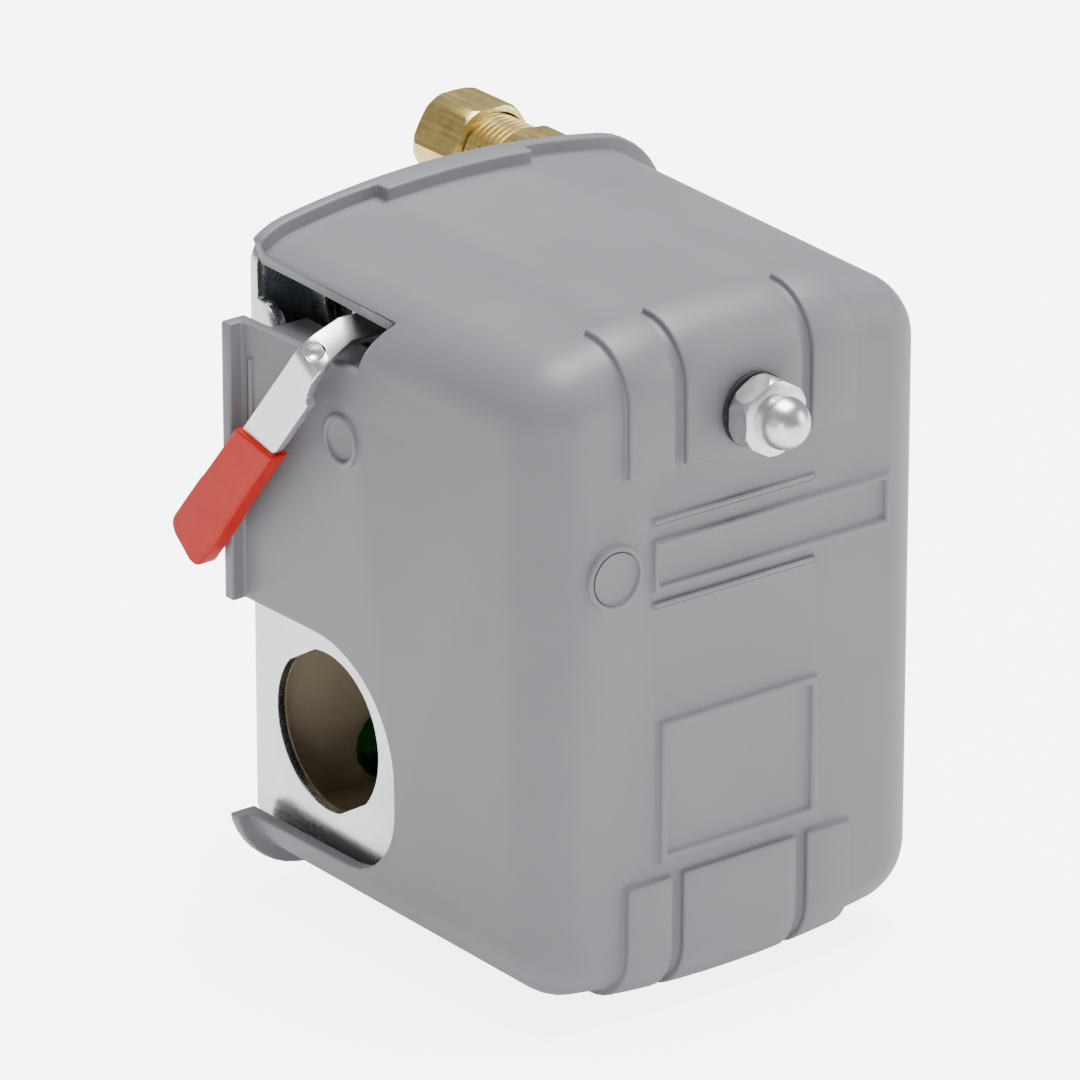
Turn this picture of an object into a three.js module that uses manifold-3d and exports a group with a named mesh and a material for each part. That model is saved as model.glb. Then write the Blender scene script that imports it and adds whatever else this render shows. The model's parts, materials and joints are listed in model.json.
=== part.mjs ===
// Air-compressor pressure switch: a moulded cover over a steel frame that carries a diaphragm
// flange, a spring-loaded operating plate, double-break contacts, an auto/off lever and a brass
// release valve.
//
// Millimetres, +Z up. The cover's nut faces -Y and the pipe port faces +Y. The sizes below are
// measured from the middle of the cover's front face (X = 0, Y = 0), 20 mm above the cover's
// lower edge (Z = 0). The last lines move the whole switch, so that the origin of the part is
// the centre of the port's mouth.

import * as THREE from 'three';
import { mergeVertices } from 'three/addons/utils/BufferGeometryUtils.js';
import Module from 'manifold-3d';

const wasm = await Module();
wasm.setup();

// ---------------------------------------------------------------- driving dimensions

const GAP = 0.3; // clearance between touching pieces
const SHEET = 1.5; // thickness of the steel sheet

const cover = {
  depth: 62.9, // front face to back edge
  halfWidth: [31.5, 33.5], // at the front face and at the back edge
  top: [71.8, 72.5],
  bottom: [-19.6, -19],
  arch: [3.2, 4.1], // rise of the curved top and bottom
  corner: [9, 8], // radius of the four long edges
  frontRound: 8, // radius round the front face
  wall: 1.8,
  lipHeight: 2,
  lipThickness: 1.9,
  lipPadHalfWidth: 11, // the thicker middle of the top lip
  lipPadThickness: 4.3,
};

const frame = {
  halfWidth: 29.4,
  front: 26, // front edge of the side walls
  plateFront: 63.2, // front face of the back plate
  bottom: -13,
  bend: 3,
  wallTop: 57.5,
  plateTop: 70,
  plateCorner: 4,
};

const conduit = { y: 48.7, z: 5.5, radius: 11.1, flat: 10.6 }; // 22.2 mm hole, 1/2 in trade size
const port = { x: 0, z: 33, mouth: 85, bore: 5.55, acrossFlats: 22 };
const flange = { radius: 21, boltCircle: 17.4, front: 66.3, rim: 4, boss: 12.1, bossEnd: 74 };
const range = { x: 1.1, z: 59.4, stud: 2.4, coil: 7.5, wire: 1, turns: 8, front: 24.5 };
const differential = { x: -13.5, z: 57.5, stud: 1.9, coil: 4.4, wire: 0.65, turns: 8, front: 33 };
const operating = { front: 55.6, thickness: 1.8, pivotY: 58.6, pivotZ: 22.5, pin: 1.5 };
const carrier = { pivotY: 31, pivotZ: 24, pin: 1.5 };
const valve = { x: 20.9, z: 65.4, bodyFlats: 11.1, nutFlats: 12.7, thread: 5.55, nutStart: 79.2, nutEnd: 88.6 };
const lever = {
  pivotY: 45,
  pivotZ: 63.4,
  outer: -38.1, // outer face of the arm
  earX: -23.6, // inner face of the ear on the pivot
  width: 6.2,
  slotRadius: 10.5,
  down: new THREE.Vector2(0.637, -0.771), // along the arm, in Y and Z
  across: new THREE.Vector2(0.771, 0.637), // across the arm, towards the back
};
const terminal = { xs: [-19.5, -6.5, 6.5, 19.5], width: 8, face: 24.5, contactZ: 15.5 };

const bracketX = lever.earX + 0.5; // outer face of the frame's lever bracket
const camX = bracketX + SHEET + 0.5; // outer face of the cam behind it
const plateBack = frame.plateFront + SHEET;
const operatingBack = operating.front + operating.thickness;
const springBack = operating.front - GAP; // rear end of both adjusting springs

// ---------------------------------------------------------------- materials

function paint(color, roughness, metalness) {
  return new THREE.MeshStandardMaterial({ color, roughness, metalness });
}

const greyPlastic = paint(0x96979b, 0.45, 0);
const blackPlastic = paint(0x1f1f21, 0.5, 0);
const redVinyl = paint(0xd65541, 0.4, 0);
const rubber = paint(0x151515, 0.8, 0);
const zincPlate = paint(0xb9bcbd, 0.35, 1);
const brightPlate = paint(0xd4d6d8, 0.2, 1);
const springSteel = paint(0x8e9296, 0.35, 1);
const dieCast = paint(0x9b9da0, 0.5, 1);
const brass = paint(0xc9a253, 0.3, 1);
const copper = paint(0xc07a52, 0.35, 1);
const greenPlate = paint(0x2e8b45, 0.35, 0.6);

// ---------------------------------------------------------------- solid helpers

function solidOf(geometry) {
  const bare = geometry.clone();
  bare.deleteAttribute('normal');
  bare.deleteAttribute('uv');
  const merged = mergeVertices(bare, 1e-4);
  const index = merged.index.array;
  const triangles = [];
  for (let i = 0; i < index.length; i += 3) {
    const [a, b, c] = [index[i], index[i + 1], index[i + 2]];
    if (a !== b && b !== c && c !== a) triangles.push(a, b, c);
  }
  const mesh = new wasm.Mesh({
    numProp: 3,
    vertProperties: new Float32Array(merged.attributes.position.array),
    triVerts: new Uint32Array(triangles),
  });
  return new wasm.Manifold(mesh);
}

function geometryOf(solid) {
  const mesh = solid.getMesh();
  const geometry = new THREE.BufferGeometry();
  const positions = new THREE.BufferAttribute(new Float32Array(mesh.vertProperties), 3);
  geometry.setAttribute('position', positions);
  geometry.setIndex(new THREE.BufferAttribute(new Uint32Array(mesh.triVerts), 1));
  geometry.computeVertexNormals();
  return geometry;
}

function join(first, ...others) {
  return others.reduce((solid, other) => solid.add(other), first);
}

function cut(first, ...others) {
  return others.reduce((solid, other) => solid.subtract(other), first);
}

function box(x0, x1, y0, y1, z0, z1) {
  const geometry = new THREE.BoxGeometry(x1 - x0, y1 - y0, z1 - z0);
  geometry.translate((x0 + x1) / 2, (y0 + y1) / 2, (z0 + z1) / 2);
  return solidOf(geometry);
}

// A box centred at y, z and turned about X.
function tiltedBox(x0, x1, y, z, sizeY, sizeZ, angle) {
  const geometry = new THREE.BoxGeometry(x1 - x0, sizeY, sizeZ);
  geometry.rotateX(angle);
  geometry.translate((x0 + x1) / 2, y, z);
  return solidOf(geometry);
}

function rodY(x, z, radius, y0, y1, sides = 16) {
  const geometry = new THREE.CylinderGeometry(radius, radius, y1 - y0, sides);
  geometry.translate(x, (y0 + y1) / 2, z);
  return solidOf(geometry);
}

function rodX(y, z, radius, x0, x1, sides = 16) {
  const geometry = new THREE.CylinderGeometry(radius, radius, x1 - x0, sides);
  geometry.rotateZ(Math.PI / 2);
  geometry.translate((x0 + x1) / 2, y, z);
  return solidOf(geometry);
}

function rodZ(x, y, radius, z0, z1, sides = 12) {
  const geometry = new THREE.CylinderGeometry(radius, radius, z1 - z0, sides);
  geometry.rotateX(Math.PI / 2);
  geometry.translate(x, y, (z0 + z1) / 2);
  return solidOf(geometry);
}

// A hexagon prism along Y, with a flat side up unless it is turned.
function hexY(x, z, acrossFlats, y0, y1, turn = Math.PI / 6) {
  const radius = acrossFlats / Math.sqrt(3);
  const geometry = new THREE.CylinderGeometry(radius, radius, y1 - y0, 6);
  geometry.rotateY(turn);
  geometry.translate(x, (y0 + y1) / 2, z);
  return solidOf(geometry);
}

// A shape drawn in X and Z, pulled along Y.
function prismY(shape, y0, y1, curveSegments = 8) {
  const options = { depth: y1 - y0, bevelEnabled: false, curveSegments };
  const geometry = new THREE.ExtrudeGeometry(shape, options);
  geometry.rotateX(Math.PI / 2);
  geometry.translate(0, y1, 0);
  return solidOf(geometry);
}

// A shape drawn in Y and Z, pulled along X.
function prismX(shape, x0, x1, curveSegments = 8) {
  const options = { depth: x1 - x0, bevelEnabled: false, curveSegments };
  const geometry = new THREE.ExtrudeGeometry(shape, options);
  const alongY = new THREE.Vector3(0, 1, 0);
  const alongZ = new THREE.Vector3(0, 0, 1);
  const alongX = new THREE.Vector3(1, 0, 0);
  geometry.applyMatrix4(new THREE.Matrix4().makeBasis(alongY, alongZ, alongX));
  geometry.translate(x0, 0, 0);
  return solidOf(geometry);
}

// A profile of [radius, y] points from front to back, turned round an axis along Y.
function turnY(x, z, profile, sides = 24) {
  const points = profile.map(([radius, y]) => new THREE.Vector2(radius, y));
  const geometry = new THREE.LatheGeometry(points, sides);
  geometry.translate(x, 0, z);
  return solidOf(geometry);
}

class Helix extends THREE.Curve {
  constructor(x, z, radius, y0, y1, turns) {
    super();
    Object.assign(this, { x, z, radius, y0, y1, turns });
  }

  getPoint(t, target = new THREE.Vector3()) {
    const angle = 2 * Math.PI * this.turns * t;
    return target.set(
      this.x + this.radius * Math.cos(angle),
      THREE.MathUtils.lerp(this.y0, this.y1, t),
      this.z + this.radius * Math.sin(angle),
    );
  }
}

// A coil spring along Y, with its wire inside y0 to y1.
function springY(x, z, radius, wire, y0, y1, turns) {
  const section = new THREE.Shape();
  section.absarc(0, 0, wire, 0, 2 * Math.PI);
  const options = {
    steps: turns * 8,
    curveSegments: 3,
    extrudePath: new Helix(x, z, radius - wire, y0 + wire, y1 - wire, turns),
  };
  return solidOf(new THREE.ExtrudeGeometry(section, options));
}

// ---------------------------------------------------------------- cover

// A cover dimension that changes evenly from the front face to the back edge.
function coverAt(y, [front, back]) {
  return THREE.MathUtils.lerp(front, back, y / cover.depth);
}

// The cover's outline at one depth: flat sides, arched top and bottom, round corners.
function coverOutline(y, inset) {
  const fullWidth = coverAt(y, cover.halfWidth);
  const arch = coverAt(y, cover.arch);
  const top = coverAt(y, cover.top) - inset;
  const bottom = coverAt(y, cover.bottom) + inset;
  const archRadius = (fullWidth ** 2 + arch ** 2) / (2 * arch);
  const radius = Math.max(coverAt(y, cover.corner) - inset, 1.5);
  const cornerX = fullWidth - inset - radius;
  const drop = archRadius - Math.sqrt((archRadius - radius) ** 2 - cornerX ** 2);
  const lean = Math.acos(cornerX / (archRadius - radius));
  const upper = [];
  const cornerSteps = 5;
  for (let i = 0; i <= cornerSteps; i += 1) {
    const angle = (lean * i) / cornerSteps;
    upper.push([cornerX + radius * Math.cos(angle), top - drop + radius * Math.sin(angle)]);
  }
  const archSteps = 5;
  for (let i = 1; i <= archSteps; i += 1) {
    const angle = lean + ((Math.PI / 2 - lean) * i) / archSteps;
    upper.push([archRadius * Math.cos(angle), top - archRadius + archRadius * Math.sin(angle)]);
  }
  const middle = (top + bottom) / 2;
  const left = upper.slice(0, -1).reverse().map(([px, pz]) => [-px, pz]);
  const half = [...upper, ...left];
  const lower = half.slice().reverse().map(([px, pz]) => [px, 2 * middle - pz]);
  return [...half, ...lower];
}

// A closed solid through outlines that all have the same number of points.
function loft(sections) {
  const count = sections[0].points.length;
  const positions = [];
  const index = [];
  for (const { y, points } of sections) {
    for (const [x, z] of points) positions.push(x, y, z);
  }
  for (let ring = 0; ring + 1 < sections.length; ring += 1) {
    for (let i = 0; i < count; i += 1) {
      const a = ring * count + i;
      const b = ring * count + ((i + 1) % count);
      index.push(a, a + count, b, b, a + count, b + count);
    }
  }
  const flat = sections[0].points.map(([x, z]) => new THREE.Vector2(x, z));
  const last = (sections.length - 1) * count;
  for (const [a, b, c] of THREE.ShapeUtils.triangulateShape(flat, [])) {
    index.push(a, b, c);
    index.push(last + a, last + c, last + b);
  }
  const geometry = new THREE.BufferGeometry();
  geometry.setAttribute('position', new THREE.Float32BufferAttribute(positions, 3));
  geometry.setIndex(index);
  return solidOf(geometry);
}

// The filled cover, shrunk by an inset; its front face starts at the same inset.
function coverBlock(inset, backY, shiftY = 0, shiftZ = 0) {
  const round = cover.frontRound - inset;
  const sections = [];
  const addSection = (y, shrink) => {
    const points = coverOutline(y, shrink).map(([x, z]) => [x, z + shiftZ]);
    sections.push({ y: y + shiftY, points });
  };
  const steps = 4;
  for (let i = steps; i >= 0; i -= 1) {
    const angle = ((Math.PI / 2) * i) / steps;
    addSection(inset + round * (1 - Math.sin(angle)), inset + round * (1 - Math.cos(angle)));
  }
  addSection(backY, inset);
  return loft(sections);
}

function coverLip() {
  const start = cover.depth - cover.lipThickness;
  const outer = coverOutline(cover.depth, -cover.lipHeight);
  const flangeRing = loft([
    { y: start, points: outer },
    { y: cover.depth, points: outer },
  ]);
  const padFront = cover.depth - cover.lipPadThickness;
  const padRing = loft([
    { y: padFront, points: outer },
    { y: cover.depth, points: outer },
  ]);
  const { lipPadHalfWidth } = cover;
  const topMiddle = box(-lipPadHalfWidth, lipPadHalfWidth, padFront - 1, 70, 60, 80);
  return join(flangeRing, padRing.intersect(topMiddle));
}

// The raised strips that wrap over the front's upper and lower edges.
function coverStrips() {
  const raise = 0.9;
  const lift = 0.45;
  const strips = [[-18.2, -11], [-9.2, 9.2], [11, 18.2]];
  const upper = strips.map(([x0, x1]) => box(x0, x1, -5, 8.5, 54, 90));
  const lower = strips.map(([x0, x1]) => box(x0, x1, -5, 8.5, -40, -2.2));
  const upperPads = coverBlock(0, 20, -raise, lift).intersect(join(...upper));
  const lowerPads = coverBlock(0, 20, -raise, -lift).intersect(join(...lower));
  return join(upperPads, lowerPads);
}

// Plain raised frames and a ring where a maker would put a nameplate.
function coverPlates() {
  const raise = 0.7;
  const bar = (x0, x1, z0, z1) => box(x0, x1, -raise, 1, z0, z1);
  const lowerPlate = join(
    bar(-12.8, 12.8, 18.6, 19.6),
    bar(-12.8, 12.8, 0, 1),
    bar(-12.8, -11.8, 0, 19.6),
    bar(11.8, 12.8, 0, 19.6),
  );
  const upperPlate = join(
    bar(-14, 24.2, 43.9, 44.7),
    bar(-14, 24.2, 37.7, 38.5),
    bar(-14, -13.2, 37.7, 44.7),
  );
  const ring = cut(rodY(-20.1, 41.3, 4.4, -raise, 1), rodY(-20.1, 41.3, 3.5, -5, 5));
  return join(lowerPlate, upperPlate, ring);
}

// The opening in both side walls round the conduit holes, open at the back edge.
function conduitCutter() {
  const shape = new THREE.Shape();
  const back = cover.depth + 5;
  shape.moveTo(back, 21.3);
  shape.lineTo(46, 21.3);
  shape.bezierCurveTo(40, 21.3, 32, 12.5, 30.2, 3.5);
  shape.bezierCurveTo(30.2, -4, 33, -9.5, 40, -9.5);
  shape.lineTo(back, -9.5);
  const left = prismX(shape, -45, -25);
  const right = prismX(shape, 25, 45);
  return join(left, right);
}

// The opening at the upper left corner that the lever comes out of.
function leverCutter() {
  const shape = new THREE.Shape();
  const back = cover.depth + 5;
  shape.moveTo(back, 60);
  shape.lineTo(37, 60);
  shape.quadraticCurveTo(37, 66, 28.5, 72);
  shape.lineTo(28.5, 80);
  shape.lineTo(back, 80);
  return prismX(shape, -45, -28.9);
}

// Raised bar and ring on the left wall for the lever's two positions.
function positionMarks() {
  const barY = 58.5;
  const barX = -coverAt(barY, cover.halfWidth);
  const bar = box(barX - 0.4, barX + 1, barY, barY + 1.2, 46.5, 55.5);
  const ringY = 40.2;
  const ringX = -coverAt(ringY, cover.halfWidth);
  const ring = cut(
    rodX(ringY, 50, 3.6, ringX - 0.5, ringX + 1),
    rodX(ringY, 50, 2.5, ringX - 5, ringX + 5),
  );
  return join(bar, ring);
}

function makeCover() {
  const filled = join(coverBlock(0, cover.depth), coverLip(), coverStrips(), coverPlates());
  const hollow = coverBlock(cover.wall, cover.depth + 10);
  const shell = join(cut(filled, hollow), positionMarks());
  const shelf = box(-32, -25.3, 37.6, 58, 58.2, 59.6);
  const studHole = rodY(range.x, range.z, 3.2, -5, 10);
  return join(cut(shell, studHole, conduitCutter(), leverCutter()), shelf);
}

function makeCoverNut() {
  const { x, z, stud } = range;
  const hex = hexY(x, z, 9.5, -6.6, -1.9, 0);
  const chamfer = turnY(x, z, [[0, -6.6], [4.7, -6.6], [5.5, -5.9], [5.5, -1.9], [0, -1.9]]);
  const domeRadius = 3.5;
  const domeY = -8.3;
  const dome = [[0, domeY - domeRadius]];
  const steps = 5;
  for (let i = 1; i <= steps; i += 1) {
    const angle = (Math.PI / 2) * (i / steps);
    dome.push([domeRadius * Math.sin(angle), domeY - domeRadius * Math.cos(angle)]);
  }
  dome.push([domeRadius, -6], [0, -6]);
  const blind = rodY(x, z, stud + GAP, -9.3, 0, 16);
  return cut(join(hex.intersect(chamfer), turnY(x, z, dome, 24)), blind);
}

function makeCoverWasher() {
  const outer = rodY(range.x, range.z, 5.2, -1.6, -1.2);
  return cut(outer, rodY(range.x, range.z, 2.7, -5, 5));
}

// ---------------------------------------------------------------- frame

function frameChannel() {
  const { halfWidth, bottom, bend, wallTop } = frame;
  const inside = halfWidth - SHEET;
  const cornerX = halfWidth - bend;
  const cornerZ = bottom + bend;
  const shape = new THREE.Shape();
  shape.moveTo(-halfWidth, wallTop);
  shape.lineTo(-halfWidth, cornerZ);
  shape.absarc(-cornerX, cornerZ, bend, Math.PI, 1.5 * Math.PI, false);
  shape.absarc(cornerX, cornerZ, bend, 1.5 * Math.PI, 2 * Math.PI, false);
  shape.lineTo(halfWidth, wallTop);
  shape.lineTo(inside, wallTop);
  shape.absarc(cornerX, cornerZ, bend - SHEET, 2 * Math.PI, 1.5 * Math.PI, true);
  shape.absarc(-cornerX, cornerZ, bend - SHEET, 1.5 * Math.PI, Math.PI, true);
  shape.lineTo(-inside, wallTop);
  return prismY(shape, frame.front, frame.plateFront + 0.5, 5);
}

function framePlate() {
  const { halfWidth, bottom, plateTop, plateCorner, bend } = frame;
  const shape = new THREE.Shape();
  const x = halfWidth - plateCorner;
  shape.moveTo(-halfWidth, bottom + bend);
  shape.absarc(-(halfWidth - bend), bottom + bend, bend, Math.PI, 1.5 * Math.PI, false);
  shape.absarc(halfWidth - bend, bottom + bend, bend, 1.5 * Math.PI, 2 * Math.PI, false);
  shape.absarc(x, plateTop - plateCorner, plateCorner, 0, Math.PI / 2, false);
  shape.absarc(-x, plateTop - plateCorner, plateCorner, Math.PI / 2, Math.PI, false);
  return prismY(shape, frame.plateFront, plateBack, 5);
}

// The slotted bracket beside the lever, bent forward from the back plate.
function leverBracket() {
  const { pivotY, pivotZ, slotRadius } = lever;
  const back = frame.plateFront + 0.5;
  const shape = new THREE.Shape();
  shape.moveTo(back, 53);
  shape.lineTo(46, 53);
  shape.lineTo(41.6, 60);
  shape.lineTo(41.6, 64.5);
  shape.quadraticCurveTo(41.6, 67.4, 44.5, 67.4);
  shape.lineTo(back, 67.4);
  const slot = new THREE.Shape();
  const upperEnd = THREE.MathUtils.degToRad(14);
  const lowerEnd = THREE.MathUtils.degToRad(-42);
  slot.absarc(pivotY, pivotZ, slotRadius + 1.7, upperEnd, lowerEnd, true);
  slot.absarc(pivotY, pivotZ, slotRadius - 1.7, lowerEnd, upperEnd, false);
  return cut(
    prismX(shape, bracketX, bracketX + SHEET),
    prismX(slot, -30, -15, 6),
    rodX(pivotY, pivotZ, 1.2 + GAP, -30, -15),
  );
}

function platePivotTabs() {
  const { pivotY, pivotZ, pin } = operating;
  const tab = (x0, x1) => box(x0, x1, 55, frame.plateFront + 0.5, pivotZ - 3, pivotZ + 3);
  const hole = rodX(pivotY, pivotZ, pin + GAP, -20, 20);
  return cut(join(tab(-13.1, -11.6), tab(11.6, 13.1)), hole);
}

function conduitHoles() {
  const { y, z, radius, flat } = conduit;
  const round = rodX(y, z, radius, -50, 50, 32);
  const tilt = THREE.MathUtils.degToRad(-31);
  return round.intersect(tiltedBox(-60, 60, y, z, 40, 2 * flat, tilt));
}

function makeFrame() {
  const riseShape = new THREE.Shape();
  riseShape.moveTo(frame.plateFront + 0.5, frame.wallTop - 1);
  riseShape.lineTo(58.6, frame.wallTop - 1);
  riseShape.quadraticCurveTo(60.5, 60.5, frame.plateFront + 0.5, 61.5);
  const rise = prismX(riseShape, -frame.halfWidth, -frame.halfWidth + SHEET);
  const body = join(frameChannel(), framePlate(), rise, leverBracket(), platePivotTabs());
  const screwHoles = flangeScrewPlaces().map(([x, z]) => rodY(x, z, 2.1 + GAP, 60, 70));
  return cut(
    body,
    conduitHoles(),
    rodY(port.x, port.z, 13, 60, 70, 32),
    rodY(range.x, range.z, range.stud + GAP, 60, 70),
    rodY(differential.x, differential.z, differential.stud + GAP, 60, 70),
    rodY(valve.x, valve.z, 2.8 + GAP, 60, 70),
    rodX(carrier.pivotY, carrier.pivotZ, carrier.pin + GAP, -35, 35),
    ...blockScrewPlaces().map(([x, y]) => rodZ(x, y, 1.6 + GAP, -15, -10)),
    ...groundScrewPlaces().map(([x, z]) => rodY(x, z, 2 + GAP, 60, 70)),
    ...screwHoles,
  );
}

function makeGroundScrew([x, z]) {
  const front = frame.plateFront - GAP;
  const head = hexY(x, z, 7.9, front - 3.2, front - 0.8);
  const washer = rodY(x, z, 5, front - 0.8, front);
  const shank = rodY(x, z, 2, front - 0.1, front + 3.2);
  const slot = box(x - 6, x + 6, front - 4, front - 2.3, z - 0.5, z + 0.5);
  return cut(join(head, washer, shank), slot);
}

function groundScrewPlaces() {
  return [[-9.5, -6.2], [9.5, -6.2]];
}

// ---------------------------------------------------------------- pressure side

function flangeScrewPlaces() {
  const places = [];
  for (let i = 0; i < 4; i += 1) {
    const angle = (Math.PI / 2) * i;
    const x = port.x + flange.boltCircle * Math.cos(angle);
    places.push([x, port.z + flange.boltCircle * Math.sin(angle)]);
  }
  return places;
}

function makeFlange() {
  const { x, z, mouth, bore, acrossFlats } = port;
  const { front, rim, radius, boss, bossEnd } = flange;
  const body = turnY(x, z, [
    [0, front], [radius, front], [radius, front + rim],
    [boss + 1, front + rim], [boss, front + rim + 1], [boss, bossEnd], [0, bossEnd],
  ], 36);
  const hexEnd = hexY(x, z, acrossFlats, bossEnd - 0.5, mouth);
  const chamfer = turnY(x, z, [
    [0, bossEnd - 0.5], [13, bossEnd - 0.5], [13, mouth - 1], [11.4, mouth], [0, mouth],
  ]);
  const chamber = turnY(x, z, [
    [0, front - 1], [14, front - 1], [14, front + 2], [bore, front + 3.5],
    [bore, mouth + 1], [0, mouth + 1],
  ]);
  const holes = flangeScrewPlaces().map(([hx, hz]) => rodY(hx, hz, 2.1 + GAP, 60, 80, 12));
  return cut(join(body, hexEnd.intersect(chamfer)), chamber, ...holes);
}

function makeFlangeScrew([x, z]) {
  const seat = flange.front + flange.rim + GAP;
  const head = hexY(x, z, 7, seat, seat + 3);
  return join(head, rodY(x, z, 2.1, frame.plateFront - 1.4, seat + 0.5, 12));
}

function makeDiaphragm() {
  const front = plateBack + GAP;
  const disc = rodY(port.x, port.z, flange.radius - 0.5, front, front + 1, 32);
  const holes = flangeScrewPlaces().map(([x, z]) => rodY(x, z, 2.1 + 0.5, 60, 70, 12));
  return cut(disc, ...holes);
}

// Presses on the operating plate with a domed nose.
function makePlunger() {
  const back = plateBack;
  const nose = operatingBack + GAP;
  return turnY(port.x, port.z, [
    [0, nose], [1.4, nose], [3.2, nose + 0.7], [4, nose + 1.8],
    [4, back - 2], [12.5, back - 2], [12.5, back], [0, back],
  ]);
}

// ---------------------------------------------------------------- operating plate and springs

function makeOperatingPlate() {
  const { front, pivotY, pivotZ, pin } = operating;
  const shape = new THREE.Shape();
  shape.moveTo(-11, pivotZ - 2.5);
  shape.lineTo(11, pivotZ - 2.5);
  shape.lineTo(11, 46);
  shape.lineTo(25.4, 52);
  shape.lineTo(25.4, 66.5);
  shape.lineTo(-18.6, 66.5);
  shape.lineTo(-18.6, 52);
  shape.lineTo(-11, 46);
  const plate = prismY(shape, front, operatingBack);
  const ear = (x0, x1) => box(x0, x1, front + 0.5, pivotY + 2.6, pivotZ - 2.5, pivotZ + 2.6);
  return cut(
    join(plate, ear(-11, -9.5), ear(9.5, 11)),
    rodX(pivotY, pivotZ, pin + GAP, -20, 20),
    rodY(range.x, range.z, 3.6, 50, 60),
    rodY(differential.x, differential.z, 2.9, 50, 60),
  );
}

function makePlatePin() {
  return rodX(operating.pivotY, operating.pivotZ, operating.pin, -14, 14);
}

// A stud riveted through the back plate, with a collar in front of it.
function makeStud({ x, z, stud }, tip) {
  const shank = turnY(x, z, [[0, tip], [stud - 0.5, tip], [stud, tip + 0.6], [stud, 66], [0, 66]]);
  const collar = rodY(x, z, stud + 1, frame.plateFront - GAP - 1.5, frame.plateFront - GAP);
  const rivet = turnY(x, z, [
    [0, plateBack + GAP], [stud + 0.8, plateBack + GAP], [stud + 0.8, plateBack + 1],
    [stud, plateBack + 1.6], [0, plateBack + 1.6],
  ]);
  return join(shank, collar, rivet);
}

function makeSpring({ x, z, coil, wire, turns, front }) {
  return springY(x, z, coil, wire, front, springBack, turns);
}

// A thick washer that takes the front end of a spring.
function makeSeat({ x, z, stud, coil, front }) {
  const back = front - GAP;
  const cup = turnY(x, z, [
    [0, back - 1.6], [coil - 0.5, back - 1.6], [coil + 0.3, back - 0.8],
    [coil + 0.3, back], [0, back],
  ]);
  return cut(cup, rodY(x, z, stud + GAP, 0, 60));
}

function makeAdjustingNut({ x, z, stud, front }, acrossFlats, height) {
  const y1 = front - 1.6 - 2 * GAP;
  const y0 = y1 - height;
  const corner = acrossFlats / Math.sqrt(3);
  const turned = turnY(x, z, [
    [0, y0], [corner - 0.8, y0], [corner, y0 + 0.6],
    [corner, y1 - 0.6], [corner - 0.8, y1], [0, y1],
  ]);
  const hex = hexY(x, z, acrossFlats, y0, y1).intersect(turned);
  return cut(hex, rodY(x, z, stud + GAP, 0, 60));
}

// ---------------------------------------------------------------- contacts

function blockScrewPlaces() {
  return [[-13, 31], [13, 31]];
}

function makeTerminalBlock() {
  const { face, xs } = terminal;
  const front = face + 1.5;
  const body = box(-26, 26, front, front + 10, frame.bottom + SHEET + GAP, 11);
  const ribs = [-26, -13, 0, 13, 26].map((x) => {
    const middle = THREE.MathUtils.clamp(x, -25.2, 25.2);
    return box(middle - 0.8, middle + 0.8, face - 4.5, front + 1, frame.bottom + SHEET + GAP, 11);
  });
  const screwHoles = xs.map((x) => rodY(x, -3, 1.9 + GAP, 20, 33, 12));
  const mountHoles = blockScrewPlaces().map(([x, y]) => rodZ(x, y, 1.6 + GAP, -15, -2));
  return cut(join(body, ...ribs), ...screwHoles, ...mountHoles);
}

function makeBlockScrew([x, y]) {
  const seat = frame.bottom - GAP;
  return join(
    rodZ(x, y, 3, seat - 1.6, seat),
    rodZ(x, y, 1.6, seat - 0.5, -3),
  );
}

function makeTerminal(x) {
  const { face, width, contactZ } = terminal;
  const strip = box(x - width / 2, x + width / 2, face, face + 1.2, -9.5, contactZ + 2.6);
  const contact = rodY(x, contactZ, 2, face - 1, face + 0.5, 12);
  return cut(join(strip, contact), rodY(x, -3, 1.9 + GAP, 15, 30, 12));
}

function makeTerminalScrew(x) {
  const seat = terminal.face - GAP;
  const head = rodY(x, -3, 3.7, seat - 2.6, seat);
  const slot = box(x - 5, x + 5, seat - 4, seat - 1.6, -3.5, -2.5);
  return join(cut(head, slot), rodY(x, -3, 1.9, seat - 0.3, 31.5, 12));
}

// Rocks on its pin and carries both contact bars in front of the terminals.
function makeCarrier() {
  const { pivotY, pivotZ, pin } = carrier;
  const barrel = rodX(pivotY, pivotZ, 3.6, -24, 24);
  const arm = (x) => box(x - 3, x + 3, 18.5, pivotY, pivotZ - 1.6, pivotZ + 1.6);
  const front = box(-24, 24, 17.8, 20.4, 12.5, pivotZ + 1.6);
  const body = join(barrel, front, arm(-21), arm(0), arm(21));
  return cut(body, rodX(pivotY, pivotZ, pin + GAP, -40, 40));
}

function makeMovingContact(x) {
  const { contactZ, face } = terminal;
  const bar = box(x - 8.7, x + 8.7, 20.7, 22, contactZ - 2, contactZ + 2);
  const back = face - 1 - GAP;
  const buttons = [x - 6.5, x + 6.5].map((cx) => rodY(cx, contactZ, 1.8, 21.5, back, 12));
  return join(bar, ...buttons);
}

function makeCarrierPin() {
  return rodX(carrier.pivotY, carrier.pivotZ, carrier.pin, -29.5, 29.5);
}

function makeToggleSpring() {
  const front = carrier.pivotY + 3.6 + GAP;
  return springY(0, carrier.pivotZ + 2, 2.6, 0.5, front, operating.front - GAP, 7);
}

// ---------------------------------------------------------------- lever

// An outline on the lever's arm, from points given down the arm and across it.
function armShape(points) {
  const top = new THREE.Vector2(39.4, 61.9);
  const corners = points.map(([down, across]) => {
    const corner = top.clone().addScaledVector(lever.down, down);
    return corner.addScaledVector(lever.across, across);
  });
  return new THREE.Shape(corners);
}

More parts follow.
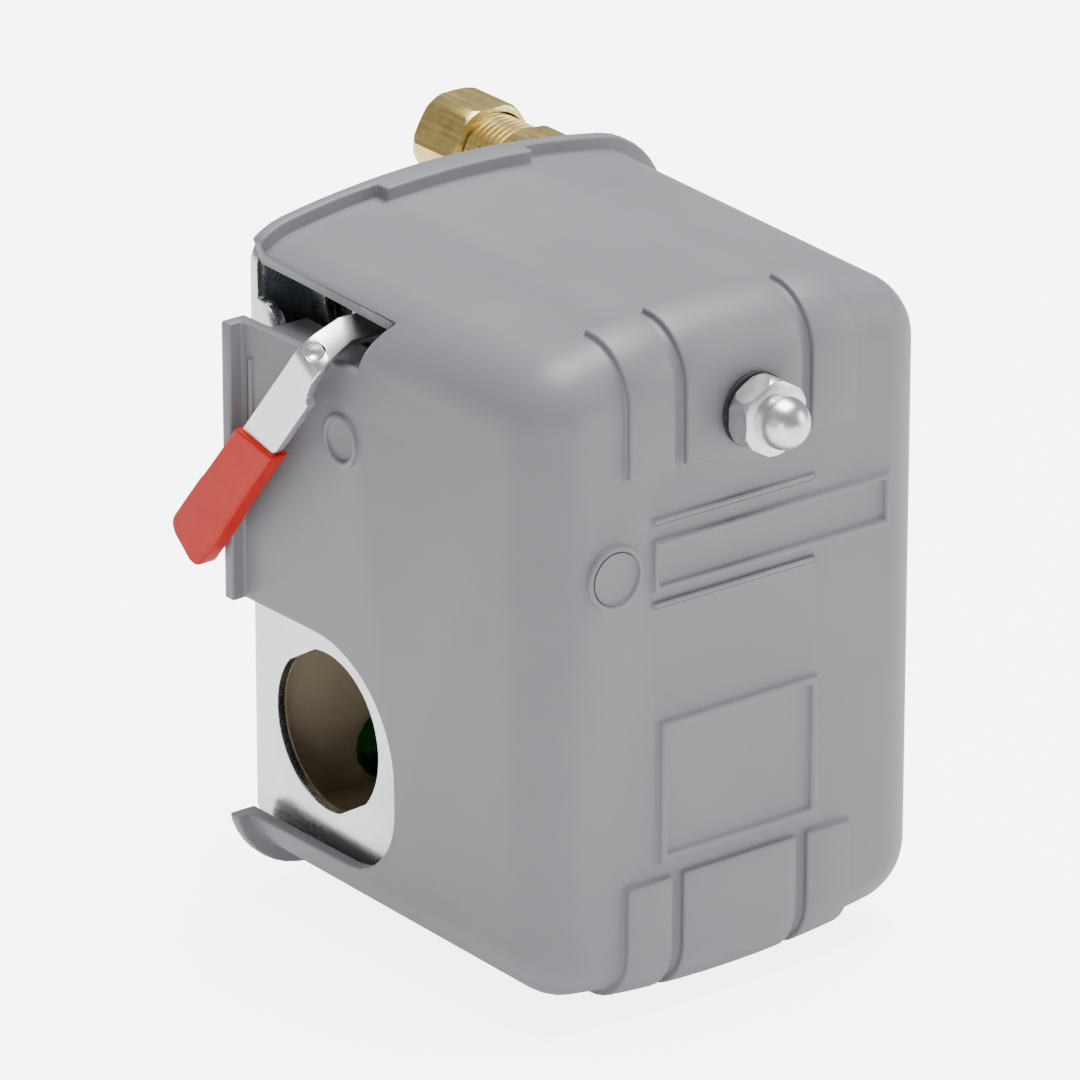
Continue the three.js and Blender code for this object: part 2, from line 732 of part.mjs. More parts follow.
// The arm outside the cover, the bridge through the cover's opening and the ear on the pivot.
function makeLever() {
  const { outer, earX, pivotY, pivotZ, width } = lever;
  const half = width / 2;
  const arm = prismX(armShape([
    [-0.7, 4.2], [-1, 1.9], [1, -0.5], [3.6, -1.9], [5.9, -2.1], [6.4, -half],
    [39.5, -half], [41.5, -2], [42.2, 0], [41.5, 2], [39.5, half], [4, half],
  ]), outer, outer + SHEET);
  const bridgeTilt = THREE.MathUtils.degToRad(-22);
  const bridge = tiltedBox(outer, earX, 41.8, 63.2, SHEET, 3.8, bridgeTilt);
  const earShape = new THREE.Shape();
  earShape.moveTo(41.2, 61.8);
  earShape.absarc(pivotY, pivotZ, 2.4, -0.5 * Math.PI, 0.5 * Math.PI, false);
  earShape.lineTo(42.4, 65);
  const ear = prismX(earShape, earX - SHEET, earX);
  return cut(join(arm, bridge, ear), rodX(pivotY, pivotZ, 1.2 + GAP, -30, -15));
}

function makeLeverPin() {
  const { pivotY, pivotZ, earX } = lever;
  const head = earX - SHEET - GAP;
  const end = camX + SHEET + GAP;
  return join(
    rodX(pivotY, pivotZ, 1.7, head - 1.1, head),
    rodX(pivotY, pivotZ, 1.2, head - 0.5, end + 0.5),
    rodX(pivotY, pivotZ, 1.8, end, end + 1),
  );
}

// The crank behind the bracket, with a peg that stands in the bracket's slot.
function makeLeverCam() {
  const { pivotY, pivotZ, slotRadius } = lever;
  const rest = THREE.MathUtils.degToRad(4);
  const pegY = pivotY + slotRadius * Math.cos(rest);
  const pegZ = pivotZ + slotRadius * Math.sin(rest);
  const shape = new THREE.Shape();
  shape.absarc(pivotY, pivotZ, 2.9, 0.5 * Math.PI + rest, 1.5 * Math.PI + rest, false);
  shape.absarc(pegY, pegZ, 2.1, -0.5 * Math.PI + rest, 0.5 * Math.PI + rest, false);
  const plate = prismX(shape, camX, camX + SHEET);
  const hole = rodX(pivotY, pivotZ, 1.2 + GAP, -30, -10);
  return cut(join(plate, rodX(pegY, pegZ, 1.3, bracketX - 0.4, camX + 1)), hole);
}

// A dipped sleeve round the lower end of the arm.
function makeGrip() {
  const { outer, width } = lever;
  const shell = prismX(armShape([
    [17, -3.6], [31, -3.7], [40, -3.9], [43.5, -3.2], [44.5, -1.9],
    [44.5, 1.9], [43.5, 3.2], [40, 3.9], [31, 3.7], [19.6, 3.6],
  ]), outer - 0.7, outer + SHEET + 0.7);
  const half = width / 2 + 0.2;
  const room = prismX(armShape([
    [10, -half], [39.6, -half], [41.9, -2.2], [42.5, 0], [41.9, 2.2], [39.6, half], [10, half],
  ]), outer - GAP, outer + SHEET + GAP);
  return cut(shell, room);
}

// ---------------------------------------------------------------- release valve

function makeValveBody() {
  const { x, z, bodyFlats, thread } = valve;
  const hexStart = plateBack + GAP;
  const hexEnd = 72.1;
  const hex = hexY(x, z, bodyFlats, hexStart, hexEnd).intersect(turnY(x, z, [
    [0, hexStart], [5.6, hexStart], [6.3, hexStart + 0.6],
    [6.3, hexEnd - 0.6], [5.6, hexEnd], [0, hexEnd],
  ]));
  const stem = turnY(x, z, [
    [0, frame.plateFront - 1.5], [2.8, frame.plateFront - 1.5], [2.8, hexStart + 0.5],
    [thread - 0.4, hexEnd - 0.5], [thread, hexEnd + 0.5], [thread, 82], [thread - 1, 83], [0, 83],
  ]);
  const bore = turnY(x, z, [
    [0, 60], [1.3, 60], [1.3, 65.8], [3.7, 65.8], [3.7, 74.5], [1.6, 74.5],
    [1.6, 79], [3.35, 79], [3.35, 85], [0, 85],
  ], 20);
  return cut(join(hex, stem), bore);
}

function makeValvePlunger() {
  return turnY(valve.x, valve.z, [
    [0, operatingBack + GAP], [0.6, operatingBack + GAP], [1, operatingBack + 0.7],
    [1, 69], [3.2, 69], [3.2, 70.6], [0, 70.6],
  ], 16);
}

function makeValveSpring() {
  return springY(valve.x, valve.z, 2.9, 0.35, 70.9, 74.2, 4);
}

function makeCompressionNut() {
  const { x, z, nutFlats, thread, nutStart, nutEnd } = valve;
  const outside = turnY(x, z, [
    [0, nutStart], [6.4, nutStart], [7, nutStart + 0.7],
    [7, nutEnd - 1.2], [6, nutEnd], [0, nutEnd],
  ]);
  const inside = turnY(x, z, [
    [0, nutStart - 1], [thread + GAP, nutStart - 1], [thread + GAP, nutEnd - 3],
    [3.4, nutEnd - 2], [3.4, nutEnd + 1], [0, nutEnd + 1],
  ], 24);
  return cut(hexY(x, z, nutFlats, nutStart, nutEnd).intersect(outside), inside);
}

function makeFerrule() {
  return turnY(valve.x, valve.z, [
    [3.45, 83.4], [4.2, 83.4], [4.6, 84.3], [4.6, 85.4], [4, 86], [3.45, 86], [3.45, 83.4],
  ], 24);
}

// ---------------------------------------------------------------- assembly

const pressureSwitch = new THREE.Group();

function add(name, solid, material) {
  const mesh = new THREE.Mesh(geometryOf(solid), material);
  mesh.name = name;
  pressureSwitch.add(mesh);
}

function addEach(name, places, make, material) {
  places.forEach((place, i) => add(`${name}_${i + 1}`, make(place), material));
}

add('cover', makeCover(), greyPlastic);
add('cover_nut', makeCoverNut(), brightPlate);
add('cover_nut_washer', makeCoverWasher(), rubber);

add('frame', makeFrame(), zincPlate);
addEach('ground_screw', groundScrewPlaces(), makeGroundScrew, greenPlate);

add('pressure_flange', makeFlange(), dieCast);
addEach('flange_screw', flangeScrewPlaces(), makeFlangeScrew, zincPlate);
add('diaphragm', makeDiaphragm(), rubber);
add('diaphragm_plunger', makePlunger(), dieCast);

add('operating_plate', makeOperatingPlate(), zincPlate);
add('plate_pivot_pin', makePlatePin(), springSteel);
add('range_stud', makeStud(range, -8.9), zincPlate);
add('range_spring', makeSpring(range), springSteel);
add('range_spring_seat', makeSeat(range), zincPlate);
add('range_nut', makeAdjustingNut(range, 9.5, 5.4), brightPlate);
add('differential_stud', makeStud(differential, 20), zincPlate);
add('differential_spring', makeSpring(differential), springSteel);
add('differential_spring_seat', makeSeat(differential), zincPlate);
add('differential_nut', makeAdjustingNut(differential, 7.9, 4.6), brightPlate);

add('terminal_block', makeTerminalBlock(), blackPlastic);
addEach('block_screw', blockScrewPlaces(), makeBlockScrew, zincPlate);
addEach('terminal', terminal.xs, makeTerminal, brass);
addEach('terminal_screw', terminal.xs, makeTerminalScrew, zincPlate);
add('contact_carrier', makeCarrier(), blackPlastic);
addEach('moving_contact', [-13, 13], makeMovingContact, copper);
add('carrier_pivot_pin', makeCarrierPin(), springSteel);
add('toggle_spring', makeToggleSpring(), springSteel);

add('auto_off_lever', makeLever(), brightPlate);
add('lever_grip', makeGrip(), redVinyl);
add('lever_pivot_pin', makeLeverPin(), brightPlate);
add('lever_cam', makeLeverCam(), zincPlate);

add('valve_body', makeValveBody(), brass);
add('valve_plunger', makeValvePlunger(), springSteel);
add('valve_spring', makeValveSpring(), springSteel);
add('ferrule', makeFerrule(), brass);
add('compression_nut', makeCompressionNut(), brass);

pressureSwitch.position.set(-port.x, -port.mouth, -port.z);

export default pressureSwitch;
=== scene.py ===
import json
import math

import bpy
from mathutils import Matrix, Vector

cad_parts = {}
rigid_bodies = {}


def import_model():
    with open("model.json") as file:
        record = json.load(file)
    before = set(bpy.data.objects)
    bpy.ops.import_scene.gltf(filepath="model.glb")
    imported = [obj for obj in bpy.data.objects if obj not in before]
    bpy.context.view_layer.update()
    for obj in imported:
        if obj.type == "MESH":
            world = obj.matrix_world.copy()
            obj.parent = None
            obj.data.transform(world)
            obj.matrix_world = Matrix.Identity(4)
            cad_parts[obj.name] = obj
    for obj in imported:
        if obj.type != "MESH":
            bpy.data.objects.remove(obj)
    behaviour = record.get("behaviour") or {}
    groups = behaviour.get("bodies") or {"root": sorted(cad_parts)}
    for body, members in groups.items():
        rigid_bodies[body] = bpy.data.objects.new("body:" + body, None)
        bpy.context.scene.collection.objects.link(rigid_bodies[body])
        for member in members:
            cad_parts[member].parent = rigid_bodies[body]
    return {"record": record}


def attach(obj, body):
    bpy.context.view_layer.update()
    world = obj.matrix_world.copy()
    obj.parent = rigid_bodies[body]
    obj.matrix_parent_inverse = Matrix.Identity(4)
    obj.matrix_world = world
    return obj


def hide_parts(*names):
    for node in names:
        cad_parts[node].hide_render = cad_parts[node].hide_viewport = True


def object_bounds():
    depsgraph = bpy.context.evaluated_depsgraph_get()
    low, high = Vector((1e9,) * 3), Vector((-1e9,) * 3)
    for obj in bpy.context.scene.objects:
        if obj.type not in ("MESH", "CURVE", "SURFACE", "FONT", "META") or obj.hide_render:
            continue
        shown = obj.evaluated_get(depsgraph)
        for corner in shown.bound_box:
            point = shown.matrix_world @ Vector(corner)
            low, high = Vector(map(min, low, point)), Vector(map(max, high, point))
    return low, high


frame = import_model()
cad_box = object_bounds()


# ---------------------------------------------------------------- table, light and view
# The switch stands on a white table in a white studio. A wide soft light hangs over it, three
# weaker ones fill from the left, the right and the front, and a long lens looks down on its left
# front corner.

PORT_Y, PORT_Z = 85, 33


def at(x, y, z):
    """Metres in the part's frame, from millimetres measured from the middle of the cover's face."""
    return Vector((x, y - PORT_Y, z - PORT_Z)) / 1000


def tint(red, green, blue):
    """A colour for a shader, from the 0 to 255 values of a colour chart."""
    def linear(value):
        value /= 255
        return value / 12.92 if value <= 0.04045 else ((value + 0.055) / 1.055) ** 2.4
    return (linear(red), linear(green), linear(blue), 1)


def activate(piece):
    if bpy.context.mode != "OBJECT":
        bpy.ops.object.mode_set(mode="OBJECT")
    bpy.ops.object.select_all(action="DESELECT")
    piece.select_set(True)
    bpy.context.view_layer.objects.active = piece


middle = at(-6.57, 33, 32)
turn, tilt = math.radians(37.28), math.radians(22.73)
camera_distance = 1.162
away = Vector((-math.sin(turn) * math.cos(tilt), -math.cos(turn) * math.cos(tilt), math.sin(tilt)))
looking = away.to_track_quat("Z", "Y").to_euler()
bpy.ops.object.camera_add(location=middle + camera_distance * away, rotation=looking)
camera = bpy.context.object
camera.data.lens = 300
camera.data.clip_end = 20
bpy.context.scene.camera = camera

world = bpy.data.worlds.new("studio")
bpy.context.scene.world = world
world.use_nodes = True
world.node_tree.nodes["Background"].inputs["Color"].default_value = (1, 1, 1, 1)
world.node_tree.nodes["Background"].inputs["Strength"].default_value = 0.38


def softbox(name, place, size, power):
    """A square area light that points at the switch."""
    bpy.ops.object.light_add(type="AREA", location=place)
    lamp = bpy.context.object
    lamp.name = name
    lamp.data.size = size
    lamp.data.energy = power
    lamp.rotation_euler = (Vector(place) - middle).to_track_quat("Z", "Y").to_euler()


softbox("top_light", (0.15, 0.0, 1.1), 0.8, 28)
softbox("left_light", (-1.0, -0.25, 0.3), 0.6, 0.5)
softbox("right_light", (0.95, -0.75, 0.35), 0.6, 5.0)
softbox("front_light", (-0.75, -0.75, 0.12), 0.3, 1.2)

bpy.ops.mesh.primitive_plane_add(size=6, location=(0, 0, cad_box[0][2] - 0.0002))
table = bpy.context.object
table.name = "table"


class Signal:
    """A node's output that shader maths can be written with."""

    def __init__(self, tree, socket):
        self.tree = tree
        self.socket = socket

    def maths(self, operation, first, second):
        node = self.tree.nodes.new("ShaderNodeMath")
        node.operation = operation
        for value, entry in zip((first, second), node.inputs):
            if isinstance(value, Signal):
                self.tree.links.new(value.socket, entry)
            else:
                entry.default_value = value
        return Signal(self.tree, node.outputs[0])

    def __add__(self, other):
        return self.maths("ADD", self, other)

    def __radd__(self, other):
        return self.maths("ADD", other, self)

    def __sub__(self, other):
        return self.maths("SUBTRACT", self, other)

    def __rsub__(self, other):
        return self.maths("SUBTRACT", other, self)

    def __mul__(self, other):
        return self.maths("MULTIPLY", self, other)

    def __rmul__(self, other):
        return self.maths("MULTIPLY", other, self)


class Finish:
    """A material while it is being made."""

    def __init__(self, name):
        self.material = bpy.data.materials.new(name)
        self.material.use_nodes = True
        self.tree = self.material.node_tree
        self.shader = self.tree.nodes["Principled BSDF"]

    def node(self, kind, settings, sockets, output=0):
        node = self.tree.nodes.new(kind)
        for name, value in settings.items():
            if name == "stops":
                elements = node.color_ramp.elements
                while len(elements) < len(value):
                    elements.new(1.0)
                for stop, (place, colour) in zip(elements, value):
                    stop.position = place
                    stop.color = colour
            else:
                setattr(node, name, value)
        for name, value in sockets.items():
            if isinstance(value, Signal):
                self.tree.links.new(value.socket, node.inputs[name])
            else:
                node.inputs[name].default_value = value
        return Signal(self.tree, node.outputs[output])

    def grain(self, size, detail=2, stretch=(1, 1, 1)):
        """Noise in the piece's own metres, with grains of the size given in millimetres."""
        place = self.node("ShaderNodeTexCoord", {}, {}, output=3)
        if stretch != (1, 1, 1):
            place = self.node("ShaderNodeMapping", {}, {"Vector": place, "Scale": stretch})
        return self.node("ShaderNodeTexNoise", {}, {
            "Vector": place, "Scale": 1000 / size, "Detail": detail, "Roughness": 0.6,
        })

    def shade(self, mask, *stops):
        """A colour that follows a mask through the stops given."""
        return self.node("ShaderNodeValToRGB", {"stops": stops}, {"Fac": mask})

    def bump(self, height, depth, strength=1.0):
        """Relief of the depth given in millimetres."""
        normal = self.node("ShaderNodeBump", {}, {
            "Height": height, "Distance": depth / 1000, "Strength": strength,
        })
        self.feed(Normal=normal)

    def feed(self, **values):
        for name, value in values.items():
            entry = self.shader.inputs[name.replace("_", " ")]
            if isinstance(value, Signal):
                self.tree.links.new(value.socket, entry)
            else:
                entry.default_value = value


def coat(piece, finish):
    piece.data.materials.clear()
    piece.data.materials.append(finish.material)


# The table glows to the lens but lights the switch only a little.
table_finish = Finish("table_paper")
seen = table_finish.node("ShaderNodeLightPath", {}, {}, output=0)
table_finish.feed(
    Base_Color=(0.93, 0.93, 0.93, 1), Emission_Strength=5.0,
    Emission_Color=table_finish.shade(seen, (0.0, (0.1, 0.1, 0.1, 1)), (1.0, (1, 1, 1, 1))),
)
table_tone = table_finish.grain(60)
table_finish.feed(Roughness=0.75 + 0.1 * table_tone)
coat(table, table_finish)


# ---------------------------------------------------------------- cover
# The cover is one moulding in mid-grey plastic with a fine satin grain, about 1.8 mm thick. It
# drops over the frame from the front and one acorn nut holds it. A lip stiffens its back edge,
# and its lower sides are cut away round the conduit holes.

def settle(piece, name):
    """Puts a piece's place, turn and size into its mesh."""
    activate(piece)
    bpy.ops.object.transform_apply(location=True, rotation=True, scale=True)
    piece.name = name
    piece.data.name = name
    return piece


def block(name, x, y, z):
    """A box from low and high x, y and z in millimetres."""
    low, high = at(x[0], y[0], z[0]), at(x[1], y[1], z[1])
    bpy.ops.mesh.primitive_cube_add(size=1, location=(low + high) / 2, scale=high - low)
    return settle(bpy.context.object, name)


def rod(name, axis, centre, radius, length, sides=48):
    """A cylinder along X, Y or Z, from its middle, radius and length in millimetres."""
    angles = {"X": (0, math.pi / 2, 0), "Y": (math.pi / 2, 0, 0), "Z": (0, 0, 0)}
    bpy.ops.mesh.primitive_cylinder_add(
        vertices=sides, radius=radius / 1000, depth=length / 1000,
        location=at(*centre), rotation=angles[axis],
    )
    return settle(bpy.context.object, name)


def millimetres(point):
    return Vector((point.x * 1000, point.y * 1000 + PORT_Y, point.z * 1000 + PORT_Z))


def pick(piece, kind, rule):
    """Opens a piece in edit mode with only the edges or faces that meet a rule selected."""
    activate(piece)
    bpy.ops.object.mode_set(mode="EDIT")
    bpy.ops.mesh.select_mode(type=kind)
    bpy.ops.mesh.select_all(action="DESELECT")
    bpy.ops.object.mode_set(mode="OBJECT")
    mesh = piece.data
    if kind == "EDGE":
        for edge in mesh.edges:
            a, b = (millimetres(mesh.vertices[i].co) for i in edge.vertices)
            edge.select = rule(a, b)
    else:
        for face in mesh.polygons:
            face.select = rule(millimetres(face.center), face.normal)
    bpy.ops.object.mode_set(mode="EDIT")


def round_edges(piece, rule, radius, segments):
    """Bevels the edges that meet a rule."""
    pick(piece, "EDGE", rule)
    bpy.ops.mesh.bevel(offset=radius / 1000, segments=segments, affect="EDGES")
    activate(piece)


def slice_at(piece, axis, *values):
    """Adds flat cuts right across a piece at each value along an axis."""
    normal = Vector([1 if letter == axis else 0 for letter in "XYZ"])
    activate(piece)
    bpy.ops.object.mode_set(mode="EDIT")
    for value in values:
        bpy.ops.mesh.select_all(action="SELECT")
        bpy.ops.mesh.bisect(plane_co=at(value, value, value), plane_no=normal)
    activate(piece)


def combine(piece, other, operation):
    """Joins, cuts or intersects a piece with another, which is used up."""
    activate(piece)
    step = piece.modifiers.new("combine", "BOOLEAN")
    step.operation = operation
    step.object = other
    step.solver = "EXACT"
    bpy.ops.object.modifier_apply(modifier=step.name)
    bpy.data.objects.remove(other)


def fuse(piece, *others):
    for other in others:
        combine(piece, other, "UNION")


def cut(piece, *others):
    for other in others:
        combine(piece, other, "DIFFERENCE")


def soften(piece, width, segments=2, angle=35):
    """Breaks the sharp edges of a finished piece and smooths its shading."""
    activate(piece)
    step = piece.modifiers.new("soften", "BEVEL")
    step.width = width / 1000
    step.segments = segments
    step.limit_method = "ANGLE"
    step.angle_limit = math.radians(angle)
    step.use_clamp_overlap = False
    step.harden_normals = False
    bpy.ops.object.modifier_apply(modifier=step.name)
    bpy.ops.object.shade_smooth_by_angle(angle=math.radians(38))


def extrude_faces(piece, rule, distance):
    pick(piece, "FACE", rule)
    bpy.ops.mesh.extrude_region_shrink_fatten(
        TRANSFORM_OT_shrink_fatten={"value": distance / 1000, "use_even_offset": True})
    activate(piece)


cover_half, cover_low, cover_high, cover_depth = 31.5, -16.4, 68.6, 62.9
cover_wall = 1.8
strip_back, strip_low, strip_high = 8.5, -2.2, 54
middle_strip, side_strip = 9.2, (11, 18.2)
lip_front, lip_pad_front, lip_pad_half = 61, 58.6, 11


def cover_form(name, inset, back, slices):
    """The cover's filled form, shrunk by an inset, from its face to the depth given."""
    half = cover_half - inset
    form = block(name, (-half, half), (inset, back), (cover_low + inset, cover_high - inset))
    round_edges(form, lambda a, b: abs(a.y - b.y) > 10, 7.6 - 0.8 * inset, 9)
    round_edges(form, lambda a, b: max(a.y, b.y) < inset + 0.01, 7.3 - 0.8 * inset, 9)
    slice_at(form, "X", -21, -15, -6, -3, 0, 3, 6, 15, 21)
    for axis, values in slices.items():
        slice_at(form, axis, *values)
    for point in form.data.vertices:
        place = millimetres(point.co)
        depth = place.y / cover_depth
        across = place.x / half
        arch = (3.2 + 0.85 * depth) * (1 - across ** 2)
        if place.z > 55.5:
            place.z += arch - 0.1 * depth
        elif place.z < -3.5:
            place.z += 1.4 * depth - arch
        place.x += 2 * depth * across
        point.co = at(*place)
    return form


cover = cover_form("cover_shell", 0, cover_depth, {
    "Y": (strip_back, lip_pad_front, lip_front),
    "X": (-18.2, -11, -9.2, 9.2, 11, 18.2),
    "Z": (strip_high, strip_low),
})


def on_strip(place, normal):
    """The pads that wrap over the upper and lower front edges."""
    across = abs(place.x)
    pad = across < middle_strip or side_strip[0] < across < side_strip[1]
    return pad and place.y < strip_back and not strip_low < place.z < strip_high


def on_lip(place, normal):
    """The lip round the back edge, twice as thick in the middle of the top."""
    if abs(normal.y) > 0.5:
        return False
    in_pad = place.y > lip_pad_front and abs(place.x) < lip_pad_half and place.z > 60
    return place.y > lip_front or in_pad


strip_height, lip_height, hollow_back = 0.95, 2, 75
extrude_faces(cover, on_strip, strip_height)
extrude_faces(cover, on_lip, lip_height)
cut(cover, cover_form("hollow", cover_wall, hollow_back, {}))


def raised_frame(x, z, rim):
    """A thin raised rectangle on the cover's face, open in the middle."""
    plate = block("plate", x, (-0.7, 1), z)
    hole = block("hole", (x[0] + rim, x[1] - rim), (-3, 3), (z[0] + rim, z[1] - rim))
    cut(plate, hole)
    return plate


fuse(cover, raised_frame((-12.8, 12.8), (0, 19.6), 1.1))
fuse(cover, raised_frame((-14, 24.2), (37.7, 44.7), 0.8))
for height in (46.8, 35.4):
    fuse(cover, block("bar", (-14, 12), (-0.5, 1), (height, height + 0.9)))
badge_x, badge_z = -20.1, 41.3
badge = rod("badge", "Y", (badge_x, 0.1, badge_z), 4.4, 1.6)
cut(badge, rod("hole", "Y", (badge_x, -3.4, badge_z), 3.5, 6))
fuse(cover, badge)

mark_bar = block("mark", (-33.75, -32.35), (58.5, 59.6), (46.5, 55.5))
mark_ring = rod("mark", "X", (-32.7, 40.2, 50), 3.6, 1.4)
cut(mark_ring, rod("hole", "X", (-32.7, 40.2, 50), 2.7, 6))
fuse(cover, mark_bar, mark_ring)

def front_upper(a, b):
    return abs(a.x - b.x) > 10 and a.y < 40 and a.z > 10


def front_lower(a, b):
    return abs(a.x - b.x) > 10 and a.y < 40 and a.z < 0


for low, high in ((-45, -25), (25, 45)):
    gap = block("gap", (low, high), (30.2, 70), (-9.5, 21.3))
    round_edges(gap, front_upper, 16.4, 14)
    round_edges(gap, front_lower, 10.5, 12)
    cut(cover, gap)

sill, lip_start = 60, 66
lever_gap = block("gap", (-45, -28.9), (37, 70), (sill, 80))
slice_at(lever_gap, "Z", 61.5, 63, 64.5, lip_start, 67.5, 69, 71)
for point in lever_gap.data.vertices:
    place = millimetres(point.co)
    if place.y < 38:
        rise = min((place.z - sill) / 12, 1)
        place.y -= 8.5 * rise ** 1.6
    if place.x > -30 and place.z > lip_start:
        place.x -= 0.36 * (place.z - lip_start)
    point.co = at(*place)
cut(cover, lever_gap)
fuse(cover, block("shelf", (-32, -25.3), (37.6, 58), (58.2, 59.6)))

stud_x, stud_z = 1.1, 59.4
cut(cover, rod("hole", "Y", (stud_x, 0, stud_z), 3.2, 12, 32))
soften(cover, 0.35, 3)

cover_plastic = Finish("cover_plastic")
cover_grain = cover_plastic.grain(0.35, 3)
cover_cloud = cover_plastic.grain(22, 3)
cover_plastic.feed(
    Base_Color=cover_plastic.shade(
        cover_cloud, (0.3, tint(116, 116, 121)), (0.7, tint(121, 121, 126))),
    Roughness=0.36 + 0.14 * cover_grain + 0.06 * cover_cloud,
)
cover_plastic.bump(cover_grain, 0.02, 0.5)
coat(cover, cover_plastic)
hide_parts("cover")
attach(cover, "base")


# ---------------------------------------------------------------- cover nut
# A bright-plated acorn nut on the end of the range stud holds the cover. Its hexagon is turned
# down at the corners, and a thin black rubber washer sits behind it. Its dark ring is partly a
# painted shadow: it stands in for the shadow line between the nut and the cover.

crisp_angle = math.radians(26)


def hexagon(name, centre, flats, length, turned, bevel, angle=0.0):
    """A hexagon bar along Y with its corners turned down, angle 0 with a flat side up."""
    bar = rod(name, "Y", centre, flats / math.sqrt(3), length, 6)
    round_edges(bar, lambda a, b: abs(a.y - b.y) > 1, 0.18, 2)
    place = Matrix.Translation(at(*centre))
    spin = Matrix.Rotation(math.radians(30 + angle), 4, "Y")
    bar.data.transform(place @ spin @ place.inverted())
    limit = rod("limit", "Y", centre, turned, length, 64)
    round_edges(limit, lambda a, b: abs(a.y - b.y) < 0.01, bevel, 2)
    combine(bar, limit, "INTERSECT")
    bpy.ops.object.shade_smooth_by_angle(angle=crisp_angle)
    return bar


dome_radius, thread_room = 3.5, 2.7
cover_nut = hexagon("acorn_nut", (stud_x, -4.0, stud_z), 9.5, 4.2, 5.35, 1.3, 30)
bpy.ops.mesh.primitive_uv_sphere_add(
    segments=64, ring_count=32, radius=dome_radius / 1000, location=at(stud_x, -7.2, stud_z))
dome = settle(bpy.context.object, "dome")
neck = rod("neck", "Y", (stud_x, -6.4, stud_z), dome_radius, 1.6, 64)
fuse(cover_nut, neck, dome)
cut(cover_nut, rod("hole", "Y", (stud_x, -5.2, stud_z), thread_room, 8.2, 32))
bpy.ops.object.shade_smooth_by_angle(angle=crisp_angle)

bright_plate = Finish("bright_nickel")
nickel_haze = bright_plate.grain(1.6, 3)
nickel_lines = bright_plate.grain(0.25, 2, (1, 0.08, 1))
bright_plate.feed(
    Base_Color=bright_plate.shade(
        nickel_haze, (0.3, tint(206, 209, 214)), (0.7, tint(232, 232, 230))),
    Metallic=1.0,
    Roughness=0.2 + 0.12 * nickel_haze + 0.08 * nickel_lines,
)
bright_plate.bump(nickel_lines, 0.006, 0.5)
coat(cover_nut, bright_plate)
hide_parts("cover_nut")
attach(cover_nut, "base")

# The washer's black ring is partly painted shade, sized to the dark shadow line round the nut.
washer = rod("nut_washer", "Y", (stud_x, -1.4, stud_z), 4.95, 0.4, 64)
cut(washer, rod("hole", "Y", (stud_x, -1.4, stud_z), thread_room, 4, 32))
soften(washer, 0.1)
black_rubber = Finish("black_rubber")
rubber_dust = black_rubber.grain(0.5, 3)
black_rubber.feed(
    Base_Color=black_rubber.shade(
        rubber_dust, (0.35, tint(24, 24, 25)), (0.75, tint(48, 48, 49))),
    Roughness=0.6 + 0.25 * rubber_dust,
)
black_rubber.bump(rubber_dust, 0.03, 0.5)
coat(washer, black_rubber)
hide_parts("cover_nut_washer")
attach(washer, "base")


# ---------------------------------------------------------------- frame
# One pressing in 1.5 mm steel, clear zinc plated: a back plate with two walls and a floor bent
# forward. The walls carry the conduit holes, and a slotted bracket beside the lever and two
# small tabs for the plate's pin are bent out of the back plate.

frame_half, frame_low, steel = 29.4, -13, 1.5
channel = block("frame_pressing", (-frame_half, frame_half), (26, 63.9), (frame_low, 57.5))
round_edges(channel, lambda a, b: abs(a.y - b.y) > 10 and a.z < 0, 3, 6)
pick(channel, "FACE", lambda place, normal: abs(normal.y) > 0.9 or normal.z > 0.9)
bpy.ops.mesh.delete(type="FACE")
activate(channel)
wall = channel.modifiers.new("wall", "SOLIDIFY")
wall.thickness = steel / 1000
wall.offset = -1
bpy.ops.object.modifier_apply(modifier=wall.name)

back_plate = block("plate", (-frame_half, frame_half), (63.2, 64.7), (frame_low, 70))
round_edges(back_plate, lambda a, b: abs(a.y - b.y) > 1 and a.z > 0, 4, 6)
round_edges(back_plate, lambda a, b: abs(a.y - b.y) > 1 and a.z < 0, 3, 6)

rise = block("rise", (-29.4, -27.9), (58.6, 63.6), (56.5, 61.5))
round_edges(rise, lambda a, b: abs(a.x - b.x) > 1 and a.y < 60 and a.z > 60, 4, 6)

bracket = block("bracket", (-23.1, -21.6), (41.6, 63.6), (53, 67.4))
round_edges(bracket, lambda a, b: abs(a.x - b.x) > 1 and a.y < 50 and a.z > 60, 2.9, 6)
pivot_y, pivot_z = 45, 63.4
pivot = (-22, pivot_y, pivot_z)
slot_cuts = []
for step in range(-10, 4):
    angle = math.radians(4 * step)
    centre = (-22, pivot_y + 10.5 * math.cos(angle), pivot_z + 10.5 * math.sin(angle))
    slot_cuts.append(rod("slot", "X", centre, 1.7, 8, 24))
fuse(slot_cuts[0], *slot_cuts[1:])
cut(bracket, slot_cuts[0], rod("hole", "X", pivot, 1.5, 8, 24))

fuse(channel, back_plate, rise, bracket)
for low in (-13.1, 11.6):
    tab = block("tab", (low, low + 1.5), (55, 63.6), (19.5, 25.5))
    round_edges(tab, lambda a, b: abs(a.x - b.x) > 1 and a.y < 60, 1.4, 4)
    cut(tab, rod("hole", "X", (low + 0.7, 58.6, 22.5), 1.8, 6, 24))
    fuse(channel, tab)

conduit_y, conduit_z = 48.7, 5.5
for x in (-28, 28):
    knockout = rod("knockout", "X", (x, conduit_y, conduit_z), 11.1, 8, 72)
    flats = block(
        "flats", (x - 6, x + 6), (conduit_y - 20, conduit_y + 20),
        (conduit_z - 10.6, conduit_z + 10.6))
    centre = Matrix.Translation(at(x, conduit_y, conduit_z))
    lean = Matrix.Rotation(math.radians(-31), 4, "X")
    flats.data.transform(centre @ lean @ centre.inverted())
    combine(knockout, flats, "INTERSECT")
    cut(channel, knockout)

